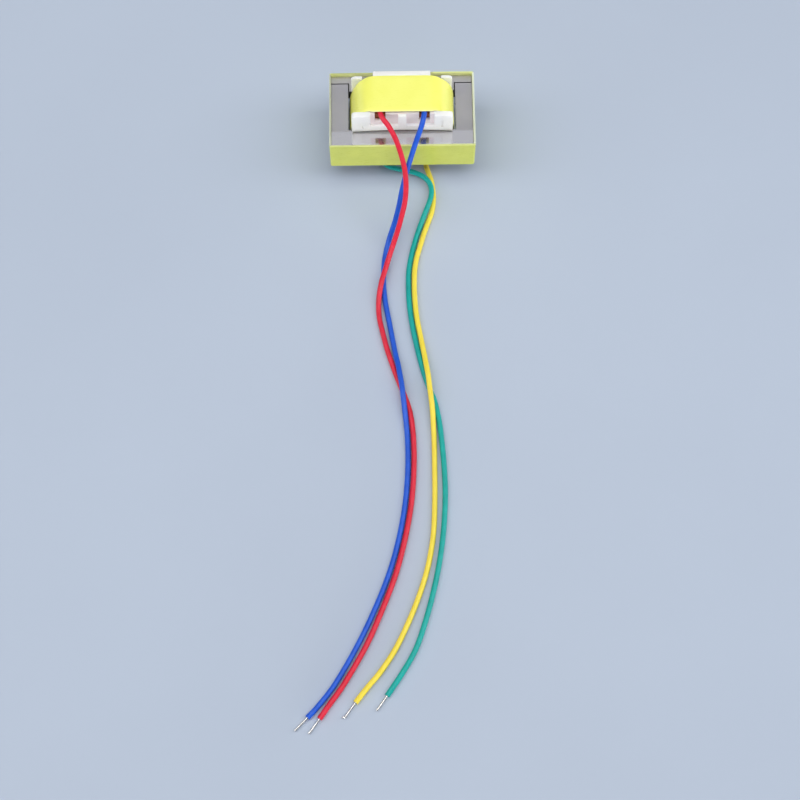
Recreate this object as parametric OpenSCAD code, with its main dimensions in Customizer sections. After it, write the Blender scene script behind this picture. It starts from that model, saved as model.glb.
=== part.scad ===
// Microphone transformer with flying leads: a laminated core, a wound and taped bobbin, four leads.
// Millimetres, +Z up, +Y away from the lead side. It rests on the flat underside of the coil at z = 0.

/* [Core] */
// Width of the core across its outer legs
core_w = 24; // [22:0.5:30]
// Depth of the core along its centre leg
core_d = 13.4; // [12.4:0.1:18]
// Width of each outer leg
outer_leg_w = 2.9; // [2.2:0.1:3.6]
// Width of the centre leg
centre_leg_w = 5.8; // [4:0.1:7]
// Depth of the yoke along the back of an E sheet
yoke_d = 3.2; // [2.4:0.1:3.8]
// Depth of the closing bar
bar_d = 2.8; // [2.2:0.1:3.4]
// Depth of the closing bar's shoulders, beyond the ends of the outer legs
shoulder_d = 1.25; // [0.8:0.05:1.6]
// Thickness of one sheet
sheet_t = 0.35; // [0.25:0.05:0.5]
// Number of sheets in the stack
sheet_count = 15; // [8:1:20]
// Gap between the closing bar and the legs
joint_gap = 0.16; // [0.04:0.02:0.2]

/* [Core tape] */
// Thickness of the tape band round the core
core_tape_t = 0.33; // [0.1:0.01:0.6]
// How far the band stands proud above the core
core_tape_rise = 0.85; // [0.2:0.05:1.5]
// How far the band reaches below the core
core_tape_drop = 1; // [0.2:0.05:1.5]
// Radius of the band's outer corners
core_tape_r = 0.4; // [0.1:0.05:0.8]
// Clearance between the band and the sheets
core_tape_gap = 0.03; // [0.01:0.01:0.1]

/* [Bobbin] */
// Height of the flanges above and below the core
flange_h = 5.4; // [5:0.1:7]
// Thickness of the flange plates
flange_t = 0.45; // [0.3:0.05:0.6]
// Radius of the flanges' corners
flange_r = 0.8; // [0.2:0.1:1.2]
// Clearance between each flange edge and the outer leg beside it
flange_side_gap = 0.6; // [0.3:0.05:0.8]
// Clearance between each flange plate and the core, along the window
flange_end_gap = 0.1; // [0.05:0.05:0.2]
// Clearance between the flanges' overhangs and the faces of the core
overhang_gap = 0.15; // [0.05:0.05:0.4]
// How far the near flange's blocks arch up from the core, at their middle
block_arch = 0.6; // [0.2:0.05:0.9]
// Radius of the blocks' outer corners beside the core
block_r = 0.6; // [0.2:0.1:1]
// How far the near flange's blocks stand out over the yoke
block_overhang = 0.42; // [0.2:0.02:1]
// How far the far flange's tabs stand out over the closing bar
tab_overhang = 0.8; // [0.3:0.1:1.5]
// Width of the far flange's tabs
tab_w = 9.7; // [6:0.1:11]
// Radius of the tabs' outer corners
tab_r = 0.3; // [0.1:0.05:0.6]
// Width of the posts at the far flange's corners
post_w = 1.85; // [1.65:0.05:2]
// Depth of the notches between the far flange's tabs and posts
far_notch_d = 2.2; // [1:0.1:3]
// Wall of the tube round the centre leg
tube_wall = 0.5; // [0.3:0.05:0.6]
// Clearance between the tube and the centre leg
tube_gap = 0.1; // [0.05:0.05:0.2]
// Radius of the tube's outer corners
tube_r = 0.6; // [0.2:0.1:0.8]

/* [Lead pockets] */
// Distance from the middle of the bobbin to each lead
lead_x = 3.7; // [3.4:0.1:4.1]
// Width of the notch that each lead passes through
notch_w = 1.8; // [1.6:0.1:2.6]
// How far each notch's middle lies inside its lead
notch_shift = 0; // [0:0.05:0.2]
// Height of the notches' floors above the core
notch_floor_h = 3.2; // [2.6:0.1:3.8]
// Width of the rib between two pockets
rib_w = 1.4; // [0.6:0.1:2]
// Width of each pocket
pocket_w = 4.7; // [4.2:0.1:5.2]
// Height of the pocket floors above the core
pocket_floor_h = 2.1; // [1.5:0.1:3]
// Distance from the end of a block to its moulded groove
groove_inset = 1.8; // [1.2:0.1:2.2]
// Width of the moulded groove
groove_w = 0.25; // [0.1:0.05:0.5]
// Length of the moulded groove
groove_l = 2.4; // [1:0.1:3]
// Depth of the moulded groove
groove_d = 0.2; // [0.05:0.05:0.3]

/* [Coil] */
// Clearance between the taped coil and the outer leg beside it
coil_side_gap = 0.15; // [0.05:0.05:0.4]
// How far the taped coil stands proud above and below the flanges
coil_proud = 0.6; // [0.4:0.05:0.9]
// How far the tape laps over the flanges' edges
tape_lap = 0.2; // [0.05:0.05:0.3]
// Thickness of the outer coil tape
coil_tape_t = 0.25; // [0.1:0.05:0.4]
// Thickness of the inner tapes
layer_tape_t = 0.15; // [0.05:0.05:0.2]
// Build of the primary winding above and below the tube
primary_build_z = 1.6; // [1:0.1:2]
// Build of the primary winding beside the tube
primary_build_x = 2.3; // [1.5:0.1:2.6]
// Clearance between one layer of the coil and the next
layer_gap = 0.02; // [0.01:0.01:0.05]
// Clearance between the coil's layers and the flange plates
coil_end_gap = 0.05; // [0.02:0.01:0.15]
// How far the tape under the lead ends stops short of the near flange
bed_tape_inset = 0.9; // [0.2:0.1:2]
// How sharply the coil's shoulders turn, an exponent
coil_shoulder = 5; // [4:0.5:8]
// How much of the coil's crown is pressed flat, above and below
coil_crown = 0.25; // [0.1:0.05:0.4]

/* [Leads] */
// Diameter of a lead over its insulation
lead_d = 0.9; // [0.8:0.05:1]
// Diameter of a lead's tinned conductor
conductor_d = 0.35; // [0.2:0.05:0.5]
// Length of the bare end of each lead
bare_end_l = 2.9; // [1:0.1:6]
// Slack between a lead and the coil tape over it
lead_slack = 0.1; // [0.1:0.05:0.2]
// Length of each lead that lies under the coil tape
tucked_l = 1.15; // [0.8:0.05:2]
// Length of the soldered end beyond it
splice_l = 2.6; // [1.5:0.1:2.8]
// Diameter of the solder on that end
solder_d = 0.7; // [0.5:0.05:0.75]
// Length of the turned-up stub on the yellow lead's bare end
bent_stub_l = 0.4; // [0.3:0.1:1]

/* [Hidden] */
$fn = 48;
// Sides of the wide arch's circle, and how far a cut runs past what it cuts
arch_sides = 360;
cut_past = 1;

// Colours of the finishes
steel_grey = [0.62, 0.62, 0.64];
bar_grey = [0.66, 0.66, 0.66];
bobbin_white = [0.93, 0.93, 0.92];
copper_brown = [0.66, 0.36, 0.18];
film_amber = [0.85, 0.68, 0.30];
coil_yellow = [0.98, 0.98, 0.45];
band_yellow = [0.80, 0.83, 0.42];
tin_silver = [0.82, 0.82, 0.80];
lead_red = [0.88, 0.16, 0.22];
lead_blue = [0.16, 0.36, 0.82];
lead_green = [0.10, 0.64, 0.58];
lead_yellow = [0.97, 0.86, 0.24];

// Core
stack_h = sheet_t * sheet_count;
core_z0 = flange_h + coil_proud;
core_z1 = core_z0 + stack_h;
mid_z = core_z0 + stack_h / 2;
core_y0 = -core_d / 2;
core_y1 = core_d / 2;
window_y0 = core_y0 + yoke_d;
window_y1 = core_y1 - bar_d;
window_w = core_w - 2 * outer_leg_w;
leg_end_y = core_y1 - shoulder_d - joint_gap;

// Bobbin
flange_w = window_w - 2 * flange_side_gap;
flange_span = stack_h + 2 * flange_h;
arch_r = (flange_w^2 / 4 + block_arch^2) / (2 * block_arch);
near_plate_y0 = window_y0 + flange_end_gap;
near_plate_y1 = near_plate_y0 + flange_t;
far_plate_y1 = window_y1 - flange_end_gap;
far_plate_y0 = far_plate_y1 - flange_t;
block_y0 = window_y0 - block_overhang;
tab_y1 = window_y1 + tab_overhang;
tube_in_w = centre_leg_w + 2 * tube_gap;
tube_in_h = stack_h + 2 * tube_gap;
tube_w = tube_in_w + 2 * tube_wall;
tube_h = tube_in_h + 2 * tube_wall;
far_notch_w = (flange_w - tab_w) / 2 - post_w;

// Half sizes of the coil's layers, from the middle of the stack
coil_y0 = near_plate_y1 + coil_end_gap;
coil_y1 = far_plate_y0 - coil_end_gap;
coil_h = flange_h + coil_proud;
coil_a = window_w / 2 - coil_side_gap;
coil_b = stack_h / 2 + coil_h;
lead_bed_h = coil_h - coil_tape_t - lead_d - lead_slack;
bed_a = coil_a - coil_tape_t - layer_gap;
bed_b = stack_h / 2 + lead_bed_h;
secondary_a = bed_a - layer_tape_t - layer_gap;
secondary_b = bed_b - layer_tape_t - layer_gap;
primary_a = tube_w / 2 + primary_build_x;
primary_b = tube_h / 2 + primary_build_z;
layer_a = primary_a + layer_gap + layer_tape_t;
layer_b = primary_b + layer_gap + layer_tape_t;
outline_steps = 26;

// Leads: how they leave the coil, then where they lie
lead_sides = 8;
lead_step = 2.2;
top_lead_z = core_z1 + lead_bed_h + lead_d / 2;
bottom_lead_z = core_z0 - lead_bed_h - lead_d / 2;
lead_in_y = near_plate_y1 + tucked_l;
red_route = concat(way_out(-lead_x, top_lead_z), [
    [-3.2, -4.2, 16.45], [-2.45, -5.2, 16.25], [-1.8, -6.2, 15.8], [-1.1, -7.4, 15], [-0.3, -9.2, 13.4],
    [0.3, -11.1, 11.4], [0.5, -13, 9.4], [0.3, -15, 7.4], [-0.3, -16.9, 5.4], [-1, -18.8, 3.8],
    [-1.8, -20.8, 2.4], [-2.6, -23, 1.7], [-3.2, -25, 1.5], [-3.8, -27, 1.5], [-4.2, -29, 1.2],
    [-4.4, -31, 0.7], [-4.3, -33.5, 0.5], [-3.8, -36, 0.5], [-3.1, -39, 0.5], [-2.2, -42, 0.5],
    [-1.2, -45, 0.5], [-0.1, -48, 0.5], [0.7, -51, 0.5], [1.1, -55, 0.5], [1.1, -60, 0.5],
    [0.6, -66, 0.5], [-0.5, -72, 0.5], [-2.1, -78, 0.5], [-4.4, -84, 0.5], [-7.1, -90, 0.5],
    [-10.6, -96, 0.5], [-13.1, -99.5, 0.5], [-14.5, -101.5, 0.5]]);
blue_route = concat(way_out(lead_x, top_lead_z), [
    [3.5, -4.3, 16.4], [3.2, -5.3, 16], [2.8, -6.3, 15.4], [2.3, -7.3, 14.5], [1.4, -9.2, 12.3],
    [0.5, -11.1, 9.7], [-0.2, -13, 7.2], [-0.8, -15, 4.8], [-1.5, -16.9, 2.9], [-2.3, -18.8, 1.5],
    [-2.9, -20.8, 0.7], [-3.3, -23, 0.5], [-3.5, -25.5, 0.5], [-3.5, -28, 0.5], [-3.2, -31, 0.5],
    [-2.7, -34, 0.5], [-2.2, -37, 0.5], [-1.7, -40, 0.7], [-1.3, -42, 1.1], [-1, -44, 1.4],
    [-0.7, -46, 1.5], [-0.5, -48, 1.45], [-0.3, -50, 1.1], [-0.1, -52, 0.7], [0.1, -55, 0.5],
    [0.1, -60, 0.5], [-0.4, -66, 0.5], [-1.5, -72, 0.5], [-3.2, -78, 0.5], [-5.6, -84, 0.5],
    [-8.5, -90, 0.5], [-12, -96, 0.5], [-14.7, -99.5, 0.5], [-16.4, -101.3, 0.5]]);
green_route = concat(way_out(-lead_x, bottom_lead_z), [
    [-3.5, -3.77, 0.8], [-3.04, -4.55, 0.8], [-2.3, -5.14, 0.85], [-0.87, -5.67, 0.95],
    [0.36, -6.01, 1.05], [2.08, -6.6, 1.2], [3.6, -7.5, 1.4], [4.6, -8.7, 1.45], [4.95, -10, 1.45],
    [4.85, -11.3, 1.45], [4.5, -12.5, 1.4], [3.9, -14, 1.2], [3.1, -16, 0.8], [2.4, -18, 0.55],
    [1.8, -20, 0.5], [1.2, -22.5, 0.5], [0.8, -25, 0.5], [0.7, -28, 0.5], [0.8, -31, 0.5],
    [1.1, -34, 0.5], [1.6, -37, 0.5], [2.2, -40, 0.5], [2.9, -43, 0.5], [3.8, -46, 0.5],
    [4.7, -48.5, 0.5], [5.4, -52, 0.5], [5.8, -56, 0.5], [6.1, -61, 0.5], [6.1, -66, 0.5],
    [5.6, -72, 0.5], [4.6, -78, 0.5], [3.1, -84, 0.5], [1.1, -90, 0.5], [-1.1, -94, 0.5],
    [-3.8, -98, 0.5]]);
yellow_route = concat(way_out(lead_x, bottom_lead_z), [
    [4, -4.2, 0.8], [4.2, -5.4, 0.7], [4.6, -6.6, 0.55], [5, -8, 0.5], [5.2, -9.5, 0.5],
    [5.3, -11, 0.5], [5.2, -12.5, 0.5], [4.9, -14, 0.5], [4.2, -16, 0.5], [3.5, -18, 0.5],
    [2.9, -20, 0.5], [2.2, -22.5, 0.5], [1.8, -25, 0.5], [1.7, -28, 0.5], [1.8, -31, 0.5],
    [2.1, -34, 0.5], [2.6, -37, 0.55], [3.1, -40, 0.9], [3.4, -42, 1.2], [3.7, -44, 1.45],
    [3.9, -46, 1.5], [4.1, -48, 1.45], [4.3, -50, 1.15], [4.4, -52, 0.8], [4.5, -55, 0.5],
    [4.5, -60, 0.5], [4.4, -66, 0.5], [4, -72, 0.5], [2.8, -78, 0.5], [0.7, -84, 0.5],
    [-2.1, -90, 0.5], [-4.7, -94, 0.5], [-6.8, -96.5, 0.5], [-8.8, -99, 0.5]]);

E_SHEETS = [for (i = [1:sheet_count]) numbered("e_sheet_", i)];
BAR_SHEETS = [for (i = [1:sheet_count]) numbered("bar_sheet_", i)];

// Names and route helpers
function numbered(stem, i) = str(stem, i < 10 ? "0" : "", i);
function unit(v) = v / norm(v);
function way_out(x, z) = [[x, lead_in_y, z], [x, near_plate_y1, z]];

// A point of the smooth curve through a route, a share t of the way along its segment i
function before(p, i) = i > 0 ? p[i - 1] : 2 * p[0] - p[1];
function after(p, i) = i + 2 < len(p) ? p[i + 2] : 2 * p[i + 1] - p[i];
function slope(p, i) = (after(p, i - 1) - before(p, i)) / 2;
function curve_point(p, i, t) =
    (2 * t^3 - 3 * t^2 + 1) * p[i] + (t^3 - 2 * t^2 + t) * slope(p, i)
    + (3 * t^2 - 2 * t^3) * p[i + 1] + (t^3 - t^2) * slope(p, i + 1);
function segment_steps(p, i) = ceil(norm(p[i + 1] - p[i]) / lead_step);
function smooth(p) = concat(
    [for (i = [0:len(p) - 2]) let (n = segment_steps(p, i)) for (k = [0:n - 1]) curve_point(p, i, k / n)],
    [p[len(p) - 1]]);

// Rings of a round tube along a path that never stands upright
function heading(p, i) = i == 0 ? unit(p[1] - p[0])
    : i == len(p) - 1 ? unit(p[i] - p[i - 1]) : unit(p[i + 1] - p[i - 1]);
function ring(c, along, r) =
    let (side = unit(cross(along, [0, 0, 1])), up = cross(side, along))
    [for (j = [0:lead_sides - 1]) let (a = (j + 0.5) * 360 / lead_sides)
        c + r * (cos(a) * side + sin(a) * up)];
function tube_points(p, r) = [for (i = [0:len(p) - 1]) each ring(p[i], heading(p, i), r)];
function tube_faces(rings) = concat(
    [[for (j = [0:lead_sides - 1]) j]],
    [for (i = [0:rings - 2]) for (j = [0:lead_sides - 1])
        let (a = i * lead_sides + j, b = i * lead_sides + (j + 1) % lead_sides)
        each [[a, a + lead_sides, b], [b, a + lead_sides, b + lead_sides]]],
    [[for (j = [lead_sides - 1:-1:0]) (rings - 1) * lead_sides + j]]);

// The bare end carries straight on from the lead
function bare_end(route) =
    let (p = smooth(route), last = len(p) - 1)
    [p[last], p[last] + bare_end_l * heading(p, last)];

// A coil layer's outline: flat above and below, with rounded sides
function coil_side(a, b) = let (crest = b + coil_crown, flat_from = asin(b / crest))
    [for (k = [0:outline_steps]) let (t = flat_from * (2 * k / outline_steps - 1))
        [a * pow(cos(t), 2 / coil_shoulder), crest * sin(t)]];
function coil_outline(a, b) = concat(coil_side(a, b), [for (p = coil_side(a, b)) -p]);

module along_y(y0, y1) {
    translate([0, y1, 0]) rotate([90, 0, 0]) linear_extrude(y1 - y0) children();
}

module rounded_rectangle(w, h, r) {
    square([w - 2 * r, h], center = true);
    square([w, h - 2 * r], center = true);
    for (x = [-1, 1]) for (y = [-1, 1]) translate([x * (w / 2 - r), y * (h / 2 - r)]) circle(r);
}

// Draws a shape above the core and its mirror image below it
module above_and_below() {
    translate([0, mid_z]) for (s = [0, 1]) mirror([0, s]) translate([0, stack_h / 2]) children();
}

module left_and_right() {
    for (s = [0, 1]) mirror([s, 0]) children();
}

module sheet_at(i) {
    translate([0, 0, core_z0 + (i - 1) * sheet_t]) linear_extrude(sheet_t) children();
}

module e_sheet(i) {
    color(steel_grey) sheet_at(i) difference() {
        translate([-core_w / 2, core_y0]) square([core_w, leg_end_y - core_y0]);
        left_and_right() translate([centre_leg_w / 2, window_y0])
            square([(window_w - centre_leg_w) / 2, core_d]);
        translate([-window_w / 2, window_y1 - joint_gap]) square([window_w, core_d]);
    }
}

module bar_sheet(i) {
    color(bar_grey) sheet_at(i) {
        translate([-core_w / 2, core_y1 - shoulder_d]) square([core_w, shoulder_d]);
        translate([-window_w / 2 + joint_gap, window_y1]) square([window_w - 2 * joint_gap, bar_d]);
    }
}

module flange_outline() {
    translate([0, mid_z]) rounded_rectangle(flange_w, flange_span, flange_r);
}

module tube_outline(extra = 0) {
    translate([0, mid_z]) rounded_rectangle(tube_w + 2 * extra, tube_h + 2 * extra, tube_r + extra);
}

module tube_hole() {
    translate([0, mid_z]) square([tube_in_w, tube_in_h], center = true);
}

// Everything level with the core, where the blocks would foul it, and the arch over it
module core_level() {
    translate([0, mid_z]) square([core_w, stack_h + 2 * overhang_gap], center = true);
    above_and_below() intersection() {
        translate([0, overhang_gap + block_arch - arch_r]) circle(arch_r, $fn = arch_sides);
        translate([-flange_w / 2, 0]) square([flange_w, flange_h]);
    }
    above_and_below() left_and_right() translate([flange_w / 2 - block_r, overhang_gap]) difference() {
        square(block_r);
        translate([0, block_r]) circle(block_r);
    }
}

module lead_notches() {
    above_and_below() left_and_right()
        translate([lead_x - notch_shift - notch_w / 2, notch_floor_h]) square([notch_w, flange_h]);
}

module pockets() {
    above_and_below() left_and_right()
        translate([rib_w / 2, pocket_floor_h]) square([pocket_w, flange_h]);
}

module grooves() {
    above_and_below() left_and_right()
        translate([flange_w / 2 - groove_inset - groove_w / 2, pocket_floor_h - groove_l / 4])
            square([groove_w, groove_l]);
}

module far_notches() {
    above_and_below() left_and_right()
        translate([tab_w / 2, flange_h - far_notch_d]) square([far_notch_w, far_notch_d]);
}

module tabs() {
    tab_h = flange_h - overhang_gap;
    above_and_below() translate([-tab_w / 2, overhang_gap]) square([tab_w, tab_h - tab_r]);
    above_and_below() translate([-tab_w / 2 + tab_r, overhang_gap]) square([tab_w - 2 * tab_r, tab_h]);
    above_and_below() left_and_right() translate([tab_w / 2 - tab_r, flange_h - tab_r]) circle(tab_r);
}

module near_flange() {
    along_y(near_plate_y0, near_plate_y1) difference() {
        flange_outline();
        lead_notches();
    }
    difference() {
        along_y(block_y0, near_plate_y0) difference() {
            flange_outline();
            core_level();
            pockets();
        }
        along_y(block_y0 - groove_d, block_y0 + groove_d) grooves();
    }
}

module far_flange() {
    along_y(far_plate_y0, far_plate_y1) difference() {
        flange_outline();
        far_notches();
    }
    along_y(far_plate_y1, tab_y1) tabs();
}

module bobbin() {
    color(bobbin_white) difference() {
        union() {
            near_flange();
            far_flange();
            along_y(near_plate_y0, far_plate_y1) tube_outline();
        }
        along_y(near_plate_y0 - cut_past, far_plate_y1 + cut_past) tube_hole();
    }
}

module layer_outline(a, b) {
    translate([0, mid_z]) polygon(coil_outline(a, b));
}

// One layer of the coil from flange to flange, with its hole as the child
module coil_layer(a, b, y0 = coil_y0) {
    along_y(y0, coil_y1) difference() {
        layer_outline(a, b);
        children();
    }
}

module primary_winding() {
    color(copper_brown) coil_layer(primary_a, primary_b) tube_outline(layer_gap);
}

module interwinding_tape() {
    color(film_amber) coil_layer(layer_a, layer_b)
        layer_outline(primary_a + layer_gap, primary_b + layer_gap);
}

module secondary_winding() {
    color(copper_brown) coil_layer(secondary_a, secondary_b)
        layer_outline(layer_a + layer_gap, layer_b + layer_gap);
}

module lead_bed_tape() {
    color(film_amber) coil_layer(bed_a, bed_b, coil_y0 + bed_tape_inset)
        layer_outline(secondary_a + layer_gap, secondary_b + layer_gap);
}

// The tape is as wide as the coil, and laps over the flanges where it stands proud of them
module coil_tape() {
    color(coil_yellow) {
        coil_layer(coil_a, coil_b) layer_outline(coil_a - coil_tape_t, coil_b - coil_tape_t);
        along_y(near_plate_y1 - tape_lap, far_plate_y0 + tape_lap) difference() {
            layer_outline(coil_a, coil_b);
            layer_outline(coil_a - coil_tape_t, coil_b - coil_tape_t);
            translate([0, mid_z]) square([core_w, flange_span + 2 * layer_gap], center = true);
        }
    }
}

module core_tape() {
    in_w = core_w + 2 * core_tape_gap;
    in_d = core_d + 2 * core_tape_gap;
    color(band_yellow) translate([0, 0, core_z0 - core_tape_drop])
        linear_extrude(core_tape_drop + stack_h + core_tape_rise) difference() {
            rounded_rectangle(in_w + 2 * core_tape_t, in_d + 2 * core_tape_t, core_tape_r);
            square([in_w, in_d], center = true);
        }
}

module tube_along(path, d) {
    polyhedron(tube_points(path, d / 2), tube_faces(len(path)));
}

module lead(route, shade) {
    color(shade) tube_along(smooth(route), lead_d);
}

module straight_tip(route) {
    color(tin_silver) tube_along(bare_end(route), conductor_d);
}

module bent_tip(route) {
    end = bare_end(route);
    color(tin_silver) tube_along(concat(end, [end[1] + bent_stub_l * [-1, 0, 0]]), conductor_d);
}

// A stripped conductor with a lump of solder on it, in line with the lead's tucked end
module splice(x, z) {
    solder_l = splice_l - 2 * conductor_d;
    color(tin_silver) translate([x, lead_in_y, z]) rotate([-90, 0, 0]) {
        cylinder(d = conductor_d, h = splice_l);
        translate([0, 0, conductor_d]) cylinder(d1 = conductor_d, d2 = solder_d, h = solder_l / 4);
        translate([0, 0, conductor_d + solder_l / 4]) cylinder(d = solder_d, h = solder_l / 2);
        translate([0, 0, conductor_d + solder_l * 3 / 4])
            cylinder(d1 = solder_d, d2 = conductor_d, h = solder_l / 4);
    }
}

for (i = [1:sheet_count]) e_sheet(i);
for (i = [1:sheet_count]) bar_sheet(i);
bobbin();
primary_winding();
interwinding_tape();
secondary_winding();
lead_bed_tape();
coil_tape();
core_tape();
lead(red_route, lead_red);  // red_lead
lead(blue_route, lead_blue);  // blue_lead
lead(green_route, lead_green);  // green_lead
lead(yellow_route, lead_yellow);  // yellow_lead
straight_tip(red_route);  // red_tip
straight_tip(blue_route);  // blue_tip
straight_tip(green_route);  // green_tip
bent_tip(yellow_route);  // yellow_tip
splice(-lead_x, top_lead_z);  // red_splice
splice(lead_x, top_lead_z);  // blue_splice
splice(-lead_x, bottom_lead_z);  // green_splice
splice(lead_x, bottom_lead_z);  // yellow_splice
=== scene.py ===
import logging
import math
from collections.abc import Callable, Sequence
from dataclasses import dataclass, field
from enum import Enum

import bpy
from mathutils import Matrix, Vector, noise


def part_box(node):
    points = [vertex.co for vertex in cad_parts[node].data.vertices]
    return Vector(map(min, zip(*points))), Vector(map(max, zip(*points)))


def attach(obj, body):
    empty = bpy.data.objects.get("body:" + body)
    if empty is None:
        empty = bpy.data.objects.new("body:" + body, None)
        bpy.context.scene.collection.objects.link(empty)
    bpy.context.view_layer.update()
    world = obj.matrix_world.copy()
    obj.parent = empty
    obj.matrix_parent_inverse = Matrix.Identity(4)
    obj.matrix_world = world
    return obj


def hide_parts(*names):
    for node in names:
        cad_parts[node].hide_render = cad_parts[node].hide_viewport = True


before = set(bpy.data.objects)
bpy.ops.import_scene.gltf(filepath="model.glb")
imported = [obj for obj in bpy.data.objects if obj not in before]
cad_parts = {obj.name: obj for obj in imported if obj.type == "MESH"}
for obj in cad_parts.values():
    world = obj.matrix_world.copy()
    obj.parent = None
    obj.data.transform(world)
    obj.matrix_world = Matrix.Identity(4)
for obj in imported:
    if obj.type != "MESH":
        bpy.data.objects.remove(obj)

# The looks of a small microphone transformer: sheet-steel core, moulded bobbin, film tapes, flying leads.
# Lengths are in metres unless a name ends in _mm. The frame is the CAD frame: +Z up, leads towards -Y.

LOG = logging.getLogger("microphone_transformer")
MM = 0.001
BODY = "root"
# The part of noise's range that most of a surface falls in
NOISE_LOW, NOISE_HIGH = 0.25, 0.75
# A face's upward share, below which it counts as upright and above which as level
UPRIGHT_UNDER, LEVEL_OVER = 0.3, 0.6
# The wave texture's own rate, in radians to a unit of length
WAVE_RATE = 20.0
# Seams closer than this are closed before edges are eased, and edges sharper than this are eased
SEAM = 0.0005 * MM
EASED_FROM_DEG = 40.0

Colour = tuple[float, float, float]
Socket = bpy.types.NodeSocket
Outline = list[tuple[Vector, Vector]]


class Grain(Enum):
    """The way the fine streaks of a finish run, as cells per metre along each axis."""

    ACROSS = (250.0, 9000.0, 9000.0)
    ROUND = (900.0, 12000.0, 900.0)
    UP = (900.0, 900.0, 12000.0)


class Paint:
    """Builds the node tree of one material round a Principled shader."""

    def __init__(self, name: str) -> None:
        """Starts an empty tree.

        Args:
            name: The material's name.
        """
        self.material = bpy.data.materials.new(name)
        self.material.use_nodes = True
        self.tree = self.material.node_tree
        self.tree.nodes.clear()
        self.shader = self.node("ShaderNodeBsdfPrincipled")
        output = self.node("ShaderNodeOutputMaterial")
        self.join(self.shader.outputs["BSDF"], output.inputs["Surface"])
        self.place = self.node("ShaderNodeTexCoord").outputs["Object"]

    def node(self, kind: str, **settings: object) -> bpy.types.Node:
        """Adds a node.

        Args:
            kind: The node's type name.
            **settings: Properties to set on it.

        Returns:
            The new node.
        """
        made = self.tree.nodes.new(kind)
        for key, value in settings.items():
            setattr(made, key, value)
        return made

    def join(self, source: Socket, target: Socket) -> None:
        """Links one socket to another."""
        self.tree.links.new(source, target)

    def constant(self, **values: object) -> None:
        """Sets plain values on the shader's own sockets, an underscore standing for a space."""
        for key, value in values.items():
            self.shader.inputs[key.replace("_", " ")].default_value = value

    def stretched(self, scale: Sequence[float]) -> Socket:
        """Stretches the surface's place.

        Args:
            scale: The stretch along each axis.

        Returns:
            The stretched place.
        """
        mapping = self.node("ShaderNodeMapping")
        mapping.inputs["Scale"].default_value = tuple(scale)
        self.join(self.place, mapping.inputs["Vector"])
        return mapping.outputs["Vector"]

    def noise(self, scale: Sequence[float], detail: float) -> Socket:
        """Adds noise of the given stretch.

        Args:
            scale: Cells per metre along each axis.
            detail: How many finer layers the noise has.

        Returns:
            The noise's value, about 0.5 in the middle.
        """
        texture = self.node("ShaderNodeTexNoise")
        texture.inputs["Scale"].default_value = 1.0
        texture.inputs["Detail"].default_value = detail
        self.join(self.stretched(scale), texture.inputs["Vector"])
        return texture.outputs["Fac"]

    def bands(self, pitch: float, axis: str) -> Socket:
        """Adds even bands across an axis, as fine wire lies on a coil.

        Args:
            pitch: The distance from one band to the next.
            axis: The axis that the bands follow each other along.

        Returns:
            The bands' value from 0 to 1.
        """
        wave = self.node("ShaderNodeTexWave", bands_direction=axis)
        wave.inputs["Scale"].default_value = 2 * math.pi / (WAVE_RATE * pitch)
        wave.inputs["Distortion"].default_value = 0.6
        wave.inputs["Detail"].default_value = 1.0
        self.join(self.place, wave.inputs["Vector"])
        return wave.outputs["Fac"]

    def between(self, value: Socket, low: Colour, high: Colour, spread: float = 0.2) -> Socket:
        """Chooses a colour between two.

        Args:
            value: What chooses the colour.
            low: The colour at the low end.
            high: The colour at the high end.
            spread: How far each end lies from the middle of the value's range.

        Returns:
            The colour.
        """
        ramp = self.node("ShaderNodeValToRGB")
        stops = ramp.color_ramp.elements
        stops[0].position = 0.5 - spread
        stops[1].position = 0.5 + spread
        stops[0].color = (*low, 1.0)
        stops[1].color = (*high, 1.0)
        self.join(value, ramp.inputs["Fac"])
        return ramp.outputs["Color"]

    def within(self, axis: str, low: float, high: float, soft: float) -> Socket:
        """Marks what lies between two places along an axis.

        Args:
            axis: The axis.
            low: Where it begins.
            high: Where it ends.
            soft: The length over which each end fades.

        Returns:
            1 between the places and 0 elsewhere.
        """
        parts = self.node("ShaderNodeSeparateXYZ")
        self.join(self.place, parts.inputs["Vector"])
        both = self.node("ShaderNodeMath", operation="MULTIPLY")
        for i, (start, end) in enumerate(((low - soft, low), (high + soft, high))):
            fade = self.node("ShaderNodeMapRange")
            fade.inputs["From Min"].default_value = start
            fade.inputs["From Max"].default_value = end
            self.join(parts.outputs[axis], fade.inputs["Value"])
            self.join(fade.outputs["Result"], both.inputs[i])
        return both.outputs["Value"]

    def upright(self) -> Socket:
        """Tells upright faces from level ones.

        Returns:
            1 on upright faces and 0 on level ones.
        """
        parts = self.node("ShaderNodeSeparateXYZ")
        self.join(self.node("ShaderNodeNewGeometry").outputs["True Normal"], parts.inputs["Vector"])
        level = self.node("ShaderNodeMath", operation="ABSOLUTE")
        self.join(parts.outputs["Z"], level.inputs[0])
        fade = self.node("ShaderNodeMapRange")
        fade.inputs["From Min"].default_value = LEVEL_OVER
        fade.inputs["From Max"].default_value = UPRIGHT_UNDER
        self.join(level.outputs["Value"], fade.inputs["Value"])
        return fade.outputs["Result"]

    def blend(self, share: Socket, first: Socket, second: Colour) -> Socket:
        """Blends a colour towards a second one.

        Args:
            share: How much of the second colour shows, from 0 to 1.
            first: The first colour.
            second: The second colour.

        Returns:
            The blended colour.
        """
        mix = self.node("ShaderNodeMix", data_type="RGBA")
        self.join(share, mix.inputs["Factor"])
        self.join(first, mix.inputs["A"])
        mix.inputs["B"].default_value = (*second, 1.0)
        return mix.outputs["Result"]

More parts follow.
